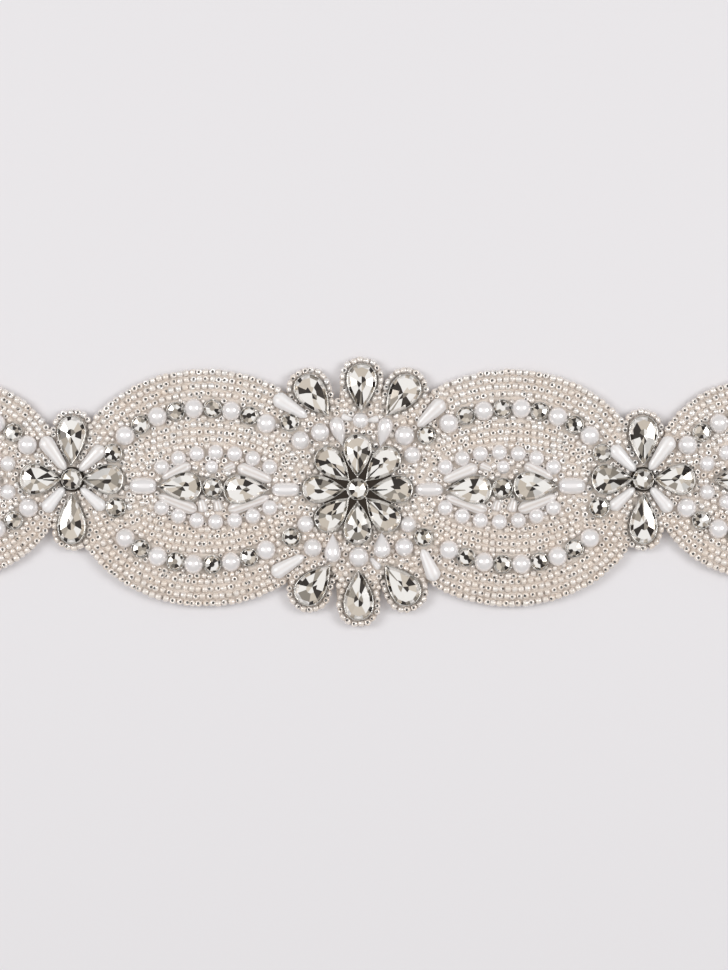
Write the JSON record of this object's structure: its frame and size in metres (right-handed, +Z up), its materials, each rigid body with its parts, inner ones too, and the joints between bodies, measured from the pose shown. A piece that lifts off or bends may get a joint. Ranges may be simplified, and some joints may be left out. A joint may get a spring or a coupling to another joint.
{
  "type": "bridal sash",
  "caption": "Beaded bridal sash laid flat: scalloped pearl and crystal applique with a central flower, oval lobes and cross flowers, and folded satin ribbon ties.",
  "frame": {"origin": "middle of the sash's footprint, on the surface that it lies on", "axes": "+X along the sash to the right as pictured, +Y across it away from the wearer's waist edge, +Z up from the surface through the beadwork"},
  "size_m": [0.4918, 0.0735, 0.0117],
  "materials": {
    "backing": "cream net and felt ground cloth, matt",
    "beadwork": "champagne silver-lined glass seed beads in close rows",
    "crystal": "foil-backed clear crystal, faceted and highly polished",
    "pearl": "white imitation pearl, satin coat with soft highlights",
    "silver": "rhodium-white metal stone settings, polished",
    "satin": "white polyester satin ribbon, soft sheen along its length"
  },
  "bodies": {
    "root": {"backing": "backing", "medallion": "beadwork", "lobe_left": "beadwork", "cross_left": "beadwork", "end_lobe_left": "beadwork", "lobe_right": "beadwork", "cross_right": "beadwork", "end_lobe_right": "beadwork", "flower_centre": "crystal", "flower_petal_1": "crystal", "flower_petal_2": "crystal", "flower_petal_3": "crystal", "flower_petal_4": "crystal", "flower_petal_5": "crystal", "flower_petal_6": "crystal", "flower_petal_7": "crystal", "flower_petal_8": "crystal", "fan_stone_1": "crystal", "fan_stone_2": "crystal", "fan_stone_3": "crystal", "fan_stone_4": "crystal", "fan_stone_5": "crystal", "fan_stone_6": "crystal", "cross_centre_left": "crystal", "cross_stone_1_left": "crystal", "cross_stone_2_left": "crystal", "cross_stone_3_left": "crystal", "cross_stone_4_left": "crystal", "lobe_stone_1_left": "crystal", "lobe_stone_2_left": "crystal", "lobe_stone_3_left": "crystal", "lobe_stone_4_left": "crystal", "lobe_chaton_left": "crystal", "end_lobe_chaton_left": "crystal", "cross_centre_right": "crystal", "cross_stone_1_right": "crystal", "cross_stone_2_right": "crystal", "cross_stone_3_right": "crystal", "cross_stone_4_right": "crystal", "lobe_stone_1_right": "crystal", "lobe_stone_2_right": "crystal", "lobe_stone_3_right": "crystal", "lobe_stone_4_right": "crystal", "lobe_chaton_right": "crystal", "end_lobe_chaton_right": "crystal", "tie_left": "satin", "tie_folds_left": "satin", "tie_right": "satin", "tie_folds_right": "satin"}
  },
  "joints": []
}
